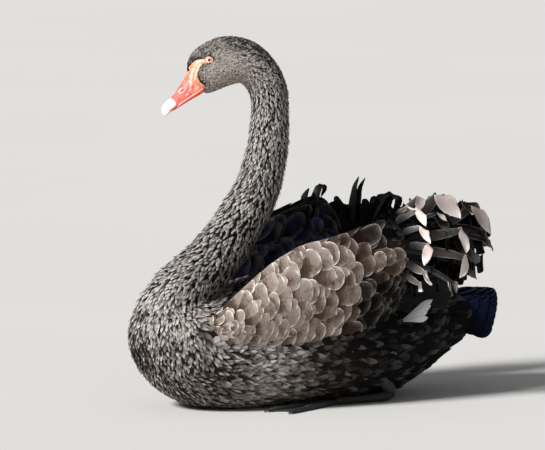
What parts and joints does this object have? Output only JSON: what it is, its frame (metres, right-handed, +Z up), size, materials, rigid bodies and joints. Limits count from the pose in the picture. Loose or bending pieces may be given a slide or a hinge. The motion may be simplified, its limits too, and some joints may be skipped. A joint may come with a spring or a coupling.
{
  "type": "black swan model",
  "caption": "Life-size black swan resting on its belly, neck in a tall S, wings raised with curled feathers, red bill with a white nail.",
  "frame": {"origin": "centre of the flat of the belly on the ground", "axes": "the breast and bill point to -X and the tail to +X, the swan's left side is -Y, +Z is up"},
  "size_m": [0.5789, 0.3267, 0.5254],
  "materials": {
    "plumage_black": "satin",
    "plumage_brown": "satin",
    "plumage_white": "matte",
    "bill_red": "satin",
    "bill_white": "satin",
    "eye_red": "gloss",
    "foot_black": "satin"
  },
  "bodies": {
    "root": {"torso": "plumage_black", "rump": "plumage_black", "tail": "plumage_black", "neck_lower": "plumage_black", "neck_middle": "plumage_black", "neck_upper": "plumage_black", "head": "plumage_black", "eye_left": "eye_red", "eye_right": "eye_red", "bill_upper": "bill_red", "bill_nail": "bill_white", "bill_lower": "bill_red", "wing_left": "plumage_brown", "wing_right": "plumage_brown", "wing_left_primaries": "plumage_white", "wing_right_primaries": "plumage_white", "leg_left": "foot_black", "leg_right": "foot_black", "foot_left": "foot_black", "foot_right": "foot_black"}
  },
  "joints": []
}
